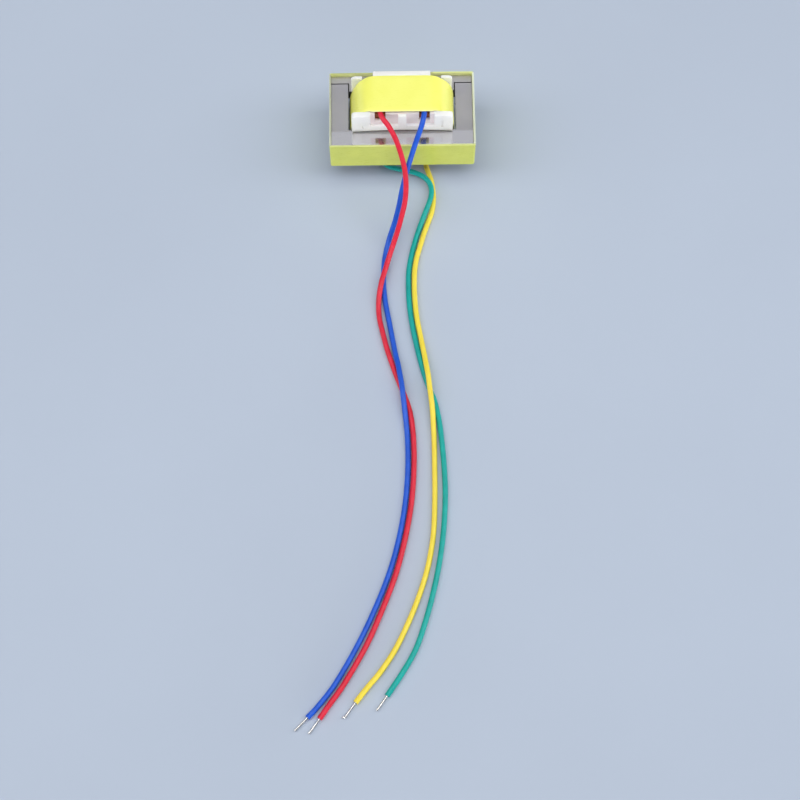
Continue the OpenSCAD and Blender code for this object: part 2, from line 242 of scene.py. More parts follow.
    def ranged(self, value: Socket, low: float, high: float) -> Socket:
        """Moves a value from the middle of noise's range to another range.

        Args:
            value: The value.
            low: The new range's beginning.
            high: The new range's end.

        Returns:
            The moved value.
        """
        node = self.node("ShaderNodeMapRange")
        node.inputs["From Min"].default_value = NOISE_LOW
        node.inputs["From Max"].default_value = NOISE_HIGH
        node.inputs["To Min"].default_value = low
        node.inputs["To Max"].default_value = high
        self.join(value, node.inputs["Value"])
        return node.outputs["Result"]

    def relief(self, height: Socket, depth: float, strength: float = 1.0) -> None:
        """Raises the surface by a height, on top of any relief before it.

        Args:
            height: The height's value from 0 to 1.
            depth: How deep the relief is.
            strength: How much of it shows.
        """
        bump = self.node("ShaderNodeBump")
        bump.inputs["Distance"].default_value = depth
        bump.inputs["Strength"].default_value = strength
        self.join(height, bump.inputs["Height"])
        normal = self.shader.inputs["Normal"]
        if normal.is_linked:
            self.join(normal.links[0].from_socket, bump.inputs["Normal"])
        self.join(bump.outputs["Normal"], normal)


@dataclass(frozen=True)
class RolledSteel:
    """Cold-rolled core sheet: bright, with fine streaks along the rolling."""

    name: str
    dark: Colour
    bright: Colour
    grain: Grain = Grain.ACROSS
    smooth: float = 0.08
    rough: float = 0.15
    # The yoke colour is a painted reflection: a paler grey standing in for the bright surroundings mirrored
    # in the yoke's top.
    yoke: Colour = (0.63, 0.62, 0.65)
    leg_metal: float = 0.55
    yoke_metal: float = 0.9
    yoke_y: tuple[float, float] | None = None
    yoke_fade: float = 0.3 * MM
    punched: Colour = (0.10, 0.10, 0.11)
    cloud_cells: tuple[float, ...] = (220.0, 220.0, 220.0)
    streak_depth: float = 0.004 * MM

    def material(self) -> bpy.types.Material:
        """Builds the finish, with a painted reflection that brightens the yoke, and dull on the punched
        edges.

        Returns:
            The material.
        """
        paint = Paint(self.name)
        streaks = paint.noise(self.grain.value, 4.0)
        clouds = paint.noise(self.cloud_cells, 2.0)
        face = paint.between(clouds, self.dark, self.bright)
        paint.constant(Metallic=self.leg_metal)
        if self.yoke_y:
            # Painted reflection: the yoke is blended towards the paler yoke colour, and its metal share is
            # raised there.
            painted_reflection_share = paint.within("Y", *self.yoke_y, self.yoke_fade)
            face = paint.blend(painted_reflection_share, face, self.yoke)
            metal = paint.ranged(painted_reflection_share, self.leg_metal, self.yoke_metal)
            paint.join(metal, paint.shader.inputs["Metallic"])
        paint.join(paint.blend(paint.upright(), face, self.punched), paint.shader.inputs["Base Color"])
        paint.join(paint.ranged(streaks, self.smooth, self.rough), paint.shader.inputs["Roughness"])
        paint.relief(streaks, self.streak_depth, 0.5)
        return paint.material


@dataclass(frozen=True)
class MouldedPlastic:
    """White moulded plastic with a fine eggshell surface, and a pinkish grey on the pockets' thin back wall:
    partly copper showing through, partly painted shade of the recess and a painted reflection of the red and
    blue leads.
    """

    name: str
    shade: Colour
    light: Colour
    # The third colour is the pockets' pinkish grey: partly copper showing through the thin wall, partly
    # painted shade of the recess and a painted reflection of the red and blue leads.
    thin: Colour
    thin_y: tuple[float, float] = (-3.4 * MM, -2.95 * MM)
    thin_x: tuple[float, float] = (-5.3 * MM, 5.3 * MM)
    thin_fade_y: float = 0.04 * MM
    thin_fade_x: float = 0.1 * MM
    cloud_cells: tuple[float, ...] = (420.0, 420.0, 420.0)
    skin_cells: tuple[float, ...] = (7000.0, 7000.0, 7000.0)
    skin_depth: float = 0.006 * MM
    smooth: float = 0.34
    rough: float = 0.48

    def material(self) -> bpy.types.Material:
        """Builds the finish.

        Returns:
            The material.
        """
        paint = Paint(self.name)
        clouds = paint.noise(self.cloud_cells, 3.0)
        skin = paint.noise(self.skin_cells, 2.0)
        white = paint.between(clouds, self.shade, self.light)
        # Painted shade and reflection, with the copper behind: the pockets' back wall is blended towards the
        # pinkish grey.
        wall = paint.node("ShaderNodeMath", operation="MULTIPLY")
        paint.join(paint.within("Y", *self.thin_y, self.thin_fade_y), wall.inputs[0])
        paint.join(paint.within("X", *self.thin_x, self.thin_fade_x), wall.inputs[1])
        paint.join(paint.blend(wall.outputs["Value"], white, self.thin), paint.shader.inputs["Base Color"])
        paint.join(paint.ranged(skin, self.smooth, self.rough), paint.shader.inputs["Roughness"])
        paint.relief(skin, self.skin_depth, 0.4)
        paint.constant(Subsurface_Weight=0.8, Subsurface_Scale=1.2 * MM, Subsurface_Radius=(1.0, 0.95, 0.9))
        paint.constant(Specular_IOR_Level=0.4)
        return paint.material


@dataclass(frozen=True)
class EnamelledWire:
    """Fine enamelled copper, turn beside turn along the coil's axis, crossing itself on the end faces, with
    painted shade in the grooves between the turns and at the crossings.
    """

    name: str
    # The first colour is painted shade, for the grooves between the turns and the crossings.
    groove_shade: Colour
    crest: Colour
    wire_d: float = 0.12 * MM
    crossing_cells: tuple[float, ...] = (7000.0, 7000.0, 7000.0)
    crossing_share: tuple[float, float] = (-0.4, 0.8)
    smooth: float = 0.26
    rough: float = 0.42

    def material(self) -> bpy.types.Material:
        """Builds the finish.

        Returns:
            The material.
        """
        paint = Paint(self.name)
        turns = paint.bands(self.wire_d, "Y")
        crossings = paint.noise(self.crossing_cells, 2.0)
        # Painted shade: the grooves between turns, and patches where the wire crosses itself, darken towards
        # the first colour.
        wires = paint.between(turns, self.groove_shade, self.crest, 0.45)
        crossed = paint.blend(paint.ranged(crossings, *self.crossing_share), wires, self.groove_shade)
        paint.join(crossed, paint.shader.inputs["Base Color"])
        paint.join(paint.ranged(turns, self.rough, self.smooth), paint.shader.inputs["Roughness"])
        paint.relief(turns, self.wire_d / 2, 0.8)
        paint.constant(Metallic=0.85)
        return paint.material


@dataclass(frozen=True)
class FilmTape:
    """Glossy plastic film tape with faint streaks and soft waves where it was pulled tight."""

    name: str
    deep: Colour
    pale: Colour
    grain: Grain
    smooth: float = 0.25
    rough: float = 0.37
    wave_cells: tuple[float, ...] = (330.0, 330.0, 330.0)
    wave_depth: float = 0.02 * MM
    streak_depth: float = 0.003 * MM

    def material(self) -> bpy.types.Material:
        """Builds the finish.

        Returns:
            The material.
        """
        paint = Paint(self.name)
        streaks = paint.noise(self.grain.value, 3.0)
        waves = paint.noise(self.wave_cells, 1.0)
        paint.join(paint.between(waves, self.deep, self.pale, 0.3), paint.shader.inputs["Base Color"])
        paint.join(paint.ranged(streaks, self.smooth, self.rough), paint.shader.inputs["Roughness"])
        paint.relief(waves, self.wave_depth, 0.6)
        paint.relief(streaks, self.streak_depth, 0.4)
        paint.constant(Coat_Weight=0.25, Coat_Roughness=0.12)
        return paint.material


@dataclass(frozen=True)
class SoftInsulation:
    """Soft extruded insulation, slightly mottled and slightly glossy."""

    name: str
    deep: Colour
    bright: Colour
    mottle_cells: tuple[float, ...] = (900.0, 500.0, 900.0)
    skin_cells: tuple[float, ...] = (6000.0, 1500.0, 6000.0)
    skin_depth: float = 0.006 * MM
    smooth: float = 0.32
    rough: float = 0.46

    def material(self) -> bpy.types.Material:
        """Builds the finish.

        Returns:
            The material.
        """
        paint = Paint(self.name)
        mottle = paint.noise(self.mottle_cells, 3.0)
        skin = paint.noise(self.skin_cells, 2.0)
        paint.join(paint.between(mottle, self.deep, self.bright, 0.25), paint.shader.inputs["Base Color"])
        paint.join(paint.ranged(skin, self.smooth, self.rough), paint.shader.inputs["Roughness"])
        paint.relief(skin, self.skin_depth, 0.4)
        paint.constant(Specular_IOR_Level=0.3)
        return paint.material


@dataclass(frozen=True)
class TinnedCopper:
    """Copper strands under bright tin, pooled a little unevenly."""

    name: str
    dull: Colour = (0.55, 0.54, 0.52)
    bright: Colour = (0.86, 0.85, 0.83)
    pool_cells: tuple[float, ...] = (3500.0, 1800.0, 3500.0)
    pool_depth: float = 0.02 * MM
    smooth: float = 0.18
    rough: float = 0.34

    def material(self) -> bpy.types.Material:
        """Builds the finish.

        Returns:
            The material.
        """
        paint = Paint(self.name)
        pools = paint.noise(self.pool_cells, 3.0)
        paint.join(paint.between(pools, self.dull, self.bright), paint.shader.inputs["Base Color"])
        paint.join(paint.ranged(pools, self.rough, self.smooth), paint.shader.inputs["Roughness"])
        paint.relief(pools, self.pool_depth, 0.5)
        paint.constant(Metallic=1.0)
        return paint.material


@dataclass(frozen=True)
class PaleTable:
    """A pale matt table top with the faintest mottling."""

    name: str
    shade: Colour
    light: Colour
    cloud_cells: tuple[float, ...] = (14.0, 14.0, 14.0)

    def material(self) -> bpy.types.Material:
        """Builds the finish.

        Returns:
            The material.
        """
        paint = Paint(self.name)
        clouds = paint.noise(self.cloud_cells, 4.0)
        paint.join(paint.between(clouds, self.shade, self.light, 0.3), paint.shader.inputs["Base Color"])
        paint.constant(Roughness=0.75, Specular_IOR_Level=0.2)
        return paint.material


class MeshShape:
    """Gathers the points and faces of one piece."""

    def __init__(self) -> None:
        """Starts with no points."""
        self.points: list[Vector] = []
        self.faces: list[tuple[int, ...]] = []
        self.finishes: list[int] = []

    def grid(
        self,
        rows: Sequence[Sequence[Vector]],
        ring: bool,
        tube: bool,
        finishes: Sequence[Sequence[int]] = (),
    ) -> list[list[int]]:
        """Adds a net of quads.

        Args:
            rows: Rows of points, each row as long as the others.
            ring: Whether each row's last point joins its first.
            tube: Whether the last row joins the first.
            finishes: Which of the piece's finishes each place along each row has, the first if none is given.

        Returns:
            The index of each point.
        """
        start = len(self.points)
        wide = len(rows[0])
        index = [[start + r * wide + c for c in range(wide)] for r in range(len(rows))]
        self.points.extend(p for row in rows for p in row)
        for r in range(len(rows) if tube else len(rows) - 1):
            for c in range(wide if ring else wide - 1):
                low, high = index[r], index[(r + 1) % len(rows)]
                self.faces.append((low[c], low[(c + 1) % wide], high[(c + 1) % wide], high[c]))
                self.finishes.append(finishes[r][c] if finishes else 0)
        return index

    def cap(self, index: Sequence[int]) -> None:
        """Closes a ring of points with one face."""
        self.faces.append(tuple(index))
        self.finishes.append(0)

    def piece(
        self, name: str, materials: Sequence[bpy.types.Material], smooth_deg: float = 35.0
    ) -> bpy.types.Object:
        """Makes the object, outward-facing and smooth up to an angle.

        Args:
            name: The piece's name.
            materials: Its finishes.
            smooth_deg: Edges sharper than this stay sharp.

        Returns:
            The new object, riding on the body.
        """
        mesh = bpy.data.meshes.new(name)
        mesh.from_pydata(self.points, [], self.faces)
        mesh.polygons.foreach_set("use_smooth", [True] * len(mesh.polygons))
        mesh.set_sharp_from_angle(angle=math.radians(smooth_deg))
        for material in materials:
            mesh.materials.append(material)
        mesh.polygons.foreach_set("material_index", self.finishes)
        made = bpy.data.objects.new(name, mesh)
        bpy.context.scene.collection.objects.link(made)
        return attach(made, BODY)


def dress(node: str, material: bpy.types.Material, edge: float = 0.0, segments: int = 2) -> None:
    """Gives a CAD node its finish, and eases its edges where asked.

    Args:
        node: The CAD node's name.
        material: Its finish.
        edge: The width of the eased edges, or 0 for none.
        segments: How many steps round an eased edge.
    """
    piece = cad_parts[node]
    piece.data.materials.clear()
    piece.data.materials.append(material)
    if edge:
        weld = piece.modifiers.new("closed_seams", "WELD")
        weld.merge_threshold = SEAM
        bevel = piece.modifiers.new("eased_edges", "BEVEL")
        bevel.width = edge
        bevel.segments = segments
        bevel.limit_method = "ANGLE"
        bevel.angle_limit = math.radians(EASED_FROM_DEG)
    LOG.info("dressed %s", node)


def wander(place: float, seed: float, cells: float) -> float:
    """Wavers smoothly along a closed way.

    Args:
        place: How far along, from 0 to 1.
        seed: Which of many waverings.
        cells: How many waves there are from 0 to 1.

    Returns:
        The value, from about -1 to 1, and the same at 0 and at 1.
    """
    turn = 2 * math.pi * place
    reach = cells / (2 * math.pi)
    return noise.noise(Vector((reach * math.cos(turn), reach * math.sin(turn), seed)))


@dataclass
class CoreStack:
    """The laminated core: E sheets one way, closed by shouldered bars."""

    sheets: int = 15
    edge: float = 0.03 * MM
    # The leg sheets carry the painted reflection on their yoke, where y lies in yoke_y.
    leg_finish: RolledSteel = RolledSteel(
        "core_sheet_steel", (0.42, 0.41, 0.445), (0.468, 0.458, 0.493), yoke_y=(-39.0 * MM, -3.9 * MM)
    )
    bar_finish: RolledSteel = RolledSteel("closing_bar_steel", (0.435, 0.425, 0.43), (0.483, 0.473, 0.475))

    def build(self) -> None:
        """Dresses every sheet of the stack."""
        leg = self.leg_finish.material()
        bar = self.bar_finish.material()
        for number in range(1, self.sheets + 1):
            dress(f"e_sheet_{number:02d}", leg, self.edge, 1)
            dress(f"bar_sheet_{number:02d}", bar, self.edge, 1)


@dataclass
class WoundBobbin:
    """The moulded bobbin with its two windings and the thin film between and over them."""

    edge: float = 0.11 * MM
    # The third colour is the pockets' pinkish grey: partly copper showing through, partly painted shade and a
    # painted reflection of the leads.
    plastic: MouldedPlastic = MouldedPlastic(
        "bobbin_plastic", (0.92, 0.92, 0.90), (0.96, 0.96, 0.94), (0.89, 0.76, 0.76)
    )
    # The first colour is painted shade for the grooves between turns.
    wire: EnamelledWire = EnamelledWire("enamelled_wire", (0.20, 0.05, 0.02), (0.75, 0.27, 0.10))
    film: FilmTape = FilmTape("inner_film", (0.62, 0.40, 0.08), (0.74, 0.52, 0.14), Grain.ROUND)
    solder: TinnedCopper = TinnedCopper("soldered_joint")

    def build(self) -> None:
        """Dresses the bobbin, the windings, the inner films and the soldered joints."""
        dress("bobbin", self.plastic.material(), self.edge, 3)
        wire = self.wire.material()
        for node in ("primary_winding", "secondary_winding"):
            dress(node, wire)
        film = self.film.material()
        for node in ("interwinding_tape", "lead_bed_tape"):
            dress(node, film)
        solder = self.solder.material()
        for colour in LeadColour:
            dress(f"{colour.value}_splice", solder)


@dataclass
class CoilWrap:
    """The outer tape round the coil: a few plies, flat on top, lapping over the flanges."""

    node: str = "coil_tape"
    shoulder: float = 5.0
    crown: float = 0.25 * MM
    thick: float = 0.25 * MM
    ply: float = 0.06 * MM
    edge: float = 0.06 * MM
    edge_inset: float = 0.018 * MM
    waver: float = 0.02 * MM
    fall_waves: float = 9.0
    sway_waves: float = 14.0
    sway_seed: float = 7.0
    lap: float = 0.25 * MM
    near_lap: tuple[float, float] = (8.295 * MM, 8.625 * MM)
    far_lap: tuple[float, float] = (7.3 * MM, 8.6 * MM)
    lean: float = 0.2 * MM
    lean_from: float = 0.15
    lean_rate: float = 2.5
    ease: float = 0.02
    ease_steps: int = 4
    steps: int = 288
    steps_across: int = 10
    side_share: float = 0.66
    free_end_turn: float = 0.69
    finish: FilmTape = FilmTape("coil_film", (0.94, 0.95, 0.17), (0.97, 0.98, 0.21), Grain.ROUND)
    cut_finish: FilmTape = FilmTape("coil_film_edge", (0.84, 0.82, 0.36), (0.92, 0.90, 0.48), Grain.ROUND)

    def eased(self, a: float, b: float, turn: float) -> tuple[float, float]:
        """Finds a point of the coil's outline with no crease where its flat top begins.

        Args:
            a: Half the coil's width.
            b: Half the coil's height.
            turn: How far round from the right-hand side, from 0 to 1.

        Returns:
            The point's place across and up from the coil's middle.
        """
        shares = [i / self.ease_steps - 1 for i in range(2 * self.ease_steps + 1)]
        near = [self.outline(a, b, turn + self.ease * share) for share in shares]
        return sum(x for x, _ in near) / len(near), sum(z for _, z in near) / len(near)

    def outline(self, a: float, b: float, turn: float) -> tuple[float, float]:
        """Finds a point of the coil's outline, seen along its axis.

        Args:
            a: Half the coil's width.
            b: Half the coil's height.
            turn: How far round from the right-hand side, from 0 to 1.

        Returns:
            The point's place across and up from the coil's middle.
        """
        quarter = int(turn * 4) % 4
        share = turn * 4 % 1.0
        if quarter % 2:
            share = 1 - share
        crest = b + self.crown
        flat_from = math.asin(b / crest)
        t = flat_from * min(1.0, share / self.side_share)
        flat_left = min(1.0, (1 - share) / (1 - self.side_share))
        x = a * math.cos(t) ** (2 / self.shoulder) * flat_left
        return (-x if quarter in (1, 2) else x), math.copysign(crest * math.sin(t), 1.5 - quarter)

    def askew(self, height: float) -> float:
        """Returns how far the coil leans to the right at a height, from -1 at its foot to 1 at its top."""
        share = min(1.0, max(-1.0, self.lean_rate * (height - self.lean_from)))
        return self.lean * share * (1 - height**4)

    def short(self, height: float, lap: tuple[float, float]) -> float:
        """Tells how much of a lap is missing at a height from the coil's middle.

        Args:
            height: The height.
            lap: The heights at which the lap begins and is full.

        Returns:
            The missing share, from 0 to 1.
        """
        share = min(1.0, max(0.0, (lap[1] - height) / (lap[1] - lap[0])))
        return share * share * (3 - 2 * share)

    def build(self) -> bpy.types.Object:
        """Makes the wrap in place of its CAD solid.

        Returns:
            The wrap.
        """
        low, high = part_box(self.node)
        middle = (low + high) / 2
        half = (high - low) / 2
        columns: list[list[Vector]] = []
        for k in range(self.steps + 1):
            share = k / self.steps
            turn = self.free_end_turn + share
            height = abs(self.eased(half.x, half.z, turn)[1])
            near, far = (self.lap * self.short(height, lap) for lap in (self.near_lap, self.far_lap))
            column = []
            for y, depth, outer in self.section(low.y + near, high.y - far):
                fall = self.waver * (1 + wander(share, y / MM, self.fall_waves)) / 2
                sunk = depth + (self.ply * (1 - share) + fall) * outer
                x, z = self.eased(half.x - sunk, half.z - sunk, turn)
                inwards = math.copysign(0.5 - outer / 4, middle.y - y)
                sway = self.waver * wander(share, self.sway_seed, self.sway_waves) * inwards
                column.append(middle + Vector((x + self.askew(z / half.z), y + sway - middle.y, z)))
            columns.append(column)
        shape = MeshShape()
        across = [1, *[0] * (len(columns[0]) - 5), 1, 1, 0, 1]
        shape.grid(columns, ring=True, tube=True, finishes=[across] * len(columns))
        wrap = shape.piece("coil_wrap", [self.finish.material(), self.cut_finish.material()])
        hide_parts(self.node)
        LOG.info("built %s", wrap.name)
        return wrap

    def section(self, y0: float, y1: float) -> list[tuple[float, float, float]]:
        """Draws the tape's cross-section.

        Args:
            y0: Where the tape begins.
            y1: Where it ends.

        Returns:
            The corners, once round: each one's place along the axis, its depth, and 1 if it is outside.
        """
        inset = self.edge_inset
        first, last = y0 + self.edge, y1 - self.edge
        shares = [i / self.steps_across for i in range(self.steps_across + 1)]
        outside = [(y0, self.edge, 1.0), (y0 + inset, inset, 1.0)]
        outside += [(first + (last - first) * share, 0.0, 1.0) for share in shares]
        outside += [(y1 - inset, inset, 1.0), (y1, self.edge, 1.0)]
        return outside + [(y1, self.thick, 0.0), (y0, self.thick, 0.0)]


@dataclass
class CoreBand:
    """The tape band round the core: plies laid over each other with slightly uneven edges."""

    node: str = "core_tape"
    plies: int = 3
    thick: float = 0.33 * MM
    ply_share: float = 0.93
    step_share: float = 0.45
    corner: float = 0.4 * MM
    least_corner: float = 0.1 * MM
    edge: float = 0.025 * MM
    uneven: float = 0.07 * MM
    top_seed: float = 11.0
    top_waves: float = 6.0
    foot_seed: float = 31.0
    foot_waves: float = 5.0
    free_end_share: float = 0.45
    steps_side: int = 40
    steps_corner: int = 8
    finish: FilmTape = FilmTape("core_film", (0.60, 0.65, 0.09), (0.67, 0.72, 0.11), Grain.UP)
    # The cut edges are pale: partly the film's cut edges scattering light, partly a painted highlight where
    # they catch the light, palest on the left and right sides.
    cut_finish: FilmTape = FilmTape("core_film_edge_highlight", (0.74, 0.80, 0.30), (0.82, 0.88, 0.36), Grain.UP)
    # The inside face is painted pale: a painted glow standing in for light that comes through the film.
    inside_glow_finish: FilmTape = FilmTape("core_film_inside_glow", (0.80, 0.84, 0.32), (0.86, 0.90, 0.38), Grain.UP)
    side_edge_highlight_finish: FilmTape = FilmTape("core_film_side_edge_highlight", (0.78, 0.83, 0.64), (0.85, 0.90, 0.72), Grain.UP)

    def outline(self, half_x: float, half_y: float, radius: float) -> Outline:
        """Draws a rounded rectangle.

        Args:
            half_x: Half its width.
            half_y: Half its depth.
            radius: The radius of its corners.

        Returns:
            Its points and outward directions, anticlockwise from the tape's free end on the far side.
        """
        corners = [(1, 1, 0.0), (-1, 1, 0.25), (-1, -1, 0.5), (1, -1, 0.75)]
        ring: Outline = []
        for sx, sy, start in corners:
            middle = Vector((sx * (half_x - radius), sy * (half_y - radius), 0))
            for i in range(self.steps_corner + 1):
                a = 2 * math.pi * (start + 0.25 * i / self.steps_corner)
                way = Vector((math.cos(a), math.sin(a), 0))
                ring.append((middle + radius * way, way))
        filled: Outline = []
        for i, (point, way) in enumerate(ring):
            filled.append((point, way))
            after, after_way = ring[(i + 1) % len(ring)]
            if (after - point).length > radius and (after_way - way).length < 0.01:
                filled += [(point.lerp(after, j / self.steps_side), way) for j in range(1, self.steps_side)]
        end_x = half_x * self.free_end_share
        start = next(i for i, (p, w) in enumerate(filled) if w.y > 0.99 and p.x < end_x)
        return filled[start:] + filled[:start]

    def build(self) -> bpy.types.Object:
        """Makes the band in place of its CAD solid.

        Returns:
            The band.
        """
        low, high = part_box(self.node)
        half = (high - low) / 2
        pitch = self.thick / self.plies
        shape = MeshShape()
        for ply in range(self.plies):
            outer = (self.plies - 1 - ply) * pitch
            ring = self.outline(half.x - outer, half.y - outer, max(self.corner - outer, self.least_corner))
            rows, inks = [], []
            for k, (point, way) in enumerate([*ring, ring[0]]):
                share = k / len(ring)
                step = self.step_share * pitch * (1 - share)
                dip = wander(share, self.top_seed + ply, self.top_waves + 2 * ply)
                rise = wander(share, self.foot_seed + ply, self.foot_waves + 2 * ply)
                drop, lift = (self.uneven * (1 + waver) / 2 for waver in (dip, rise))
                top = Vector((*point.xy, high.z - drop))
                foot = Vector((*point.xy, low.z + lift))
                rows.append(self.section(foot, top, way, step, self.ply_share * pitch))
                cut = 3 if abs(way.x) > 0.9 else 1
                # Finish 2, the inside face, carries a painted glow; finishes 1 and 3, the cut edges, carry a
                # painted highlight.
                inks.append([cut, 0, cut, cut, 2, cut])
            shape.grid(rows, ring=True, tube=True, finishes=inks)
        finishes = (self.finish, self.cut_finish, self.inside_glow_finish, self.side_edge_highlight_finish)
        band = shape.piece("core_band", [finish.material() for finish in finishes])
        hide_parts(self.node)
        LOG.info("built %s", band.name)
        return band

    def section(self, foot: Vector, top: Vector, way: Vector, step: float, thick: float) -> list[Vector]:
        """Draws one ply's cross-section.

        Args:
            foot: The outline's point at the ply's lower edge.
            top: The outline's point at its upper edge.
            way: The outward direction there.
            step: How far the ply's outside lies in from the points.
            thick: The ply's thickness.

        Returns:
            The corners, once round.
        """
        e = self.edge
        rise = Vector((0, 0, e))
        outside = [foot - (step + e) * way, foot - step * way + rise]
        outside += [top - step * way - rise, top - (step + e) * way]
        return outside + [point - thick * way for point in (top, foot)]


class LeadColour(Enum):
    """The four leads, told apart by their colours."""

    RED = "red"
    BLUE = "blue"
    GREEN = "green"
    YELLOW = "yellow"


@dataclass
class FlyingLead:
    """One lead: a soft insulated wire from the coil to its stripped and tinned end."""

    colour: LeadColour
    finish: SoftInsulation
    route_mm: list[tuple[float, float, float]]
    notch_y: float = -3.4 * MM
    lead_d: float = 0.9 * MM
    conductor_d: float = 0.35 * MM
    bare_l: float = 2.9 * MM
    stub: Vector | None = None
    stub_ease: float = 0.05 * MM
    strands: int = 6
    twists_per_m: float = 330.0
    groove_share: float = 0.14
    end_taper: float = 0.55
    box_share: float = 0.8
    steps_bare: int = 14
    steps_stub: int = 4
    steps_round: int = 48
    tin: TinnedCopper = field(default_factory=lambda: TinnedCopper("tinned_strands"))

    def build(self) -> bpy.types.Object:
        """Makes the lead and its bare end in place of their CAD solids.

        Returns:
            The lead's curve.
        """
        points = [MM * Vector(p) for p in self.route_mm]
        name = self.colour.value
        curve = bpy.data.curves.new(f"{name}_wire", "CURVE")
        curve.dimensions = "3D"
        curve.bevel_depth = self.lead_d / 2
        curve.bevel_resolution = 5
        curve.resolution_u = 10
        curve.use_fill_caps = True
        spline = curve.splines.new("BEZIER")
        spline.bezier_points.add(len(points) - 1)
        spline.use_smooth = True
        for i, knot in enumerate(spline.bezier_points):
            before = points[i - 1] if i else 2 * points[0] - points[1]
            after = points[i + 1] if i + 1 < len(points) else 2 * points[i] - points[i - 1]
            knot.handle_left_type = knot.handle_right_type = "FREE"
            knot.co = points[i]
            knot.handle_left = points[i] - (after - before) / 6
            knot.handle_right = points[i] + (after - before) / 6
        curve.materials.append(self.finish.material())
        lead = bpy.data.objects.new(f"{name}_wire", curve)
        bpy.context.scene.collection.objects.link(lead)
        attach(lead, BODY)
        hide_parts(f"{name}_lead")
        tip = self.bare_end(points)
        self.length(points)
        LOG.info("built %s, %.1f mm long", lead.name, self.length(points) / MM)
        return lead

    def length(self, points: Sequence[Vector]) -> float:
        """Returns the lead's length along its route's points."""
        return sum((b - a).length for a, b in zip(points, points[1:]))

    def bare_end(self, points: Sequence[Vector]) -> bpy.types.Object:
        """Makes the twisted and tinned strands beyond the insulation.

        Args:
            points: The lead's route.

        Returns:
            The bare end.
        """
        low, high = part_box(f"{self.colour.value}_tip")
        start = points[-1]
        way = self.tip_way(low, high, points[-1] - points[-2])
        path = [start + way * self.bare_l * i / self.steps_bare for i in range(self.steps_bare + 1)]
        if self.stub is not None:
            bend = path.pop()
            for i in range(self.steps_stub + 1):
                share = i / self.steps_stub
                path.append(bend + self.stub * share - way * self.stub_ease * (1 - share))
        rows = []
        travelled = 0.0
        for i, point in enumerate(path):
            ahead = path[min(i + 1, len(path) - 1)] - path[max(i - 1, 0)]
            side = ahead.cross(Vector((0, 0, 1))).normalized()
            up = side.cross(ahead).normalized()
            travelled += (point - path[max(i - 1, 0)]).length
            twist = 2 * math.pi * self.twists_per_m * travelled
            radius = self.conductor_d / 2 * (self.end_taper if i == len(path) - 1 else 1.0)
            turns = [k / self.steps_round for k in range(self.steps_round)]
            rows.append([self.strand_point(point, side, up, radius, twist, turn) for turn in turns])
        shape = MeshShape()
        index = shape.grid(rows, ring=True, tube=False)
        shape.cap(index[0][::-1])
        shape.cap(index[-1])
        tip = shape.piece(f"{self.colour.value}_strands", [self.tin.material()], 50.0)
        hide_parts(f"{self.colour.value}_tip")
        LOG.info("built %s", tip.name)
        return tip

    def tip_way(self, low: Vector, high: Vector, way: Vector) -> Vector:
        """Finds the bare end's direction, as its CAD solid lies.

        Args:
            low: The low corner of the solid's box.
            high: The high corner.
            way: The lead's direction at its end.

        Returns:
            The direction, of length 1.
        """
        across = (high - low) - Vector((self.conductor_d, self.conductor_d, 0)) * self.box_share
        if self.stub is not None:
            across.x -= abs(self.stub.x)
        return Vector((math.copysign(across.x, way.x), math.copysign(across.y, way.y), 0)).normalized()

    def strand_point(
        self, point: Vector, side: Vector, up: Vector, radius: float, twist: float, turn: float
    ) -> Vector:
        """Finds a point of the strands' lobed outline.

        Args:
            point: The middle of the bundle.
            side: The direction to its side.
            up: The direction upwards.
            radius: The bundle's radius over the strands.
            twist: How far the strands have turned, in radians.
            turn: How far round the outline, from 0 to 1.

        Returns:
            The point.
        """
        a = 2 * math.pi * turn
        lobe = abs(math.cos(self.strands / 2 * (a - twist)))
        reach = radius * (1 - self.groove_share * (1 - lobe))
        return point + reach * (math.cos(a) * side + math.sin(a) * up)


RED_ROUTE_MM = [
    (-3.7, -1.8, 16.45), (-3.7, -2.95, 16.45), (-3.2, -4.2, 16.45), (-2.45, -5.2, 16.25),
    (-1.8, -6.2, 15.8), (-1.1, -7.4, 15), (-0.3, -9.2, 13.4), (0.3, -11.1, 11.4), (0.5, -13, 9.4),
    (0.3, -15, 7.4), (-0.3, -16.9, 5.4), (-1, -18.8, 3.8), (-1.8, -20.8, 2.4), (-2.6, -23, 1.7),
    (-3.2, -25, 1.5), (-3.8, -27, 1.5), (-4.2, -29, 1.2), (-4.4, -31, 0.7), (-4.3, -33.5, 0.5),
    (-3.8, -36, 0.5), (-3.1, -39, 0.5), (-2.2, -42, 0.5), (-1.2, -45, 0.5), (-0.1, -48, 0.5),
    (0.7, -51, 0.5), (1.1, -55, 0.5), (1.1, -60, 0.5), (0.6, -66, 0.5), (-0.5, -72, 0.5), (-2.1, -78, 0.5),
    (-4.4, -84, 0.5), (-7.1, -90, 0.5), (-10.6, -96, 0.5), (-13.1, -99.5, 0.5), (-14.5, -101.5, 0.5),
]
